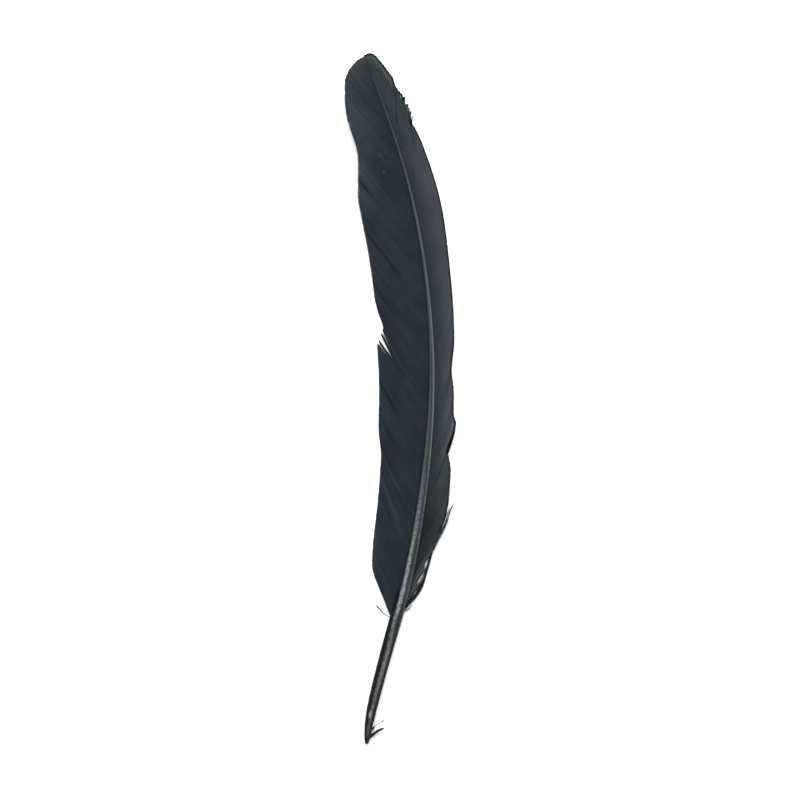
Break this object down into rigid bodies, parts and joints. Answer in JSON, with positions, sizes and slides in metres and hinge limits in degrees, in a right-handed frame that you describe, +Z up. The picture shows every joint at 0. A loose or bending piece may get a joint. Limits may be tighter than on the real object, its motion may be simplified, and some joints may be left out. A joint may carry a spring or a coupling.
{
  "type": "pheasant feather",
  "caption": "Dyed black pheasant wing feather lying underside up, with a curved grooved shaft, a broad inner vane, a narrow outer vane and loose barbs at its base.",
  "frame": {"origin": "on the surface that the feather lies on, under the middle of its box", "axes": "+Y runs along the feather from the end of the quill to the tip, +X points from the broad inner vane to the narrow outer vane, and +Z is up, out of the feather's grooved underside, which faces up"},
  "size_m": [0.0316, 0.1956, 0.0074],
  "materials": {
    "horn": "satin",
    "inner_barbs": "matte",
    "outer_barbs": "matte"
  },
  "bodies": {
    "root": {"shaft": "horn", "inner_vane": "inner_barbs", "outer_vane": "outer_barbs", "loose_barbs": "outer_barbs"}
  },
  "joints": []
}
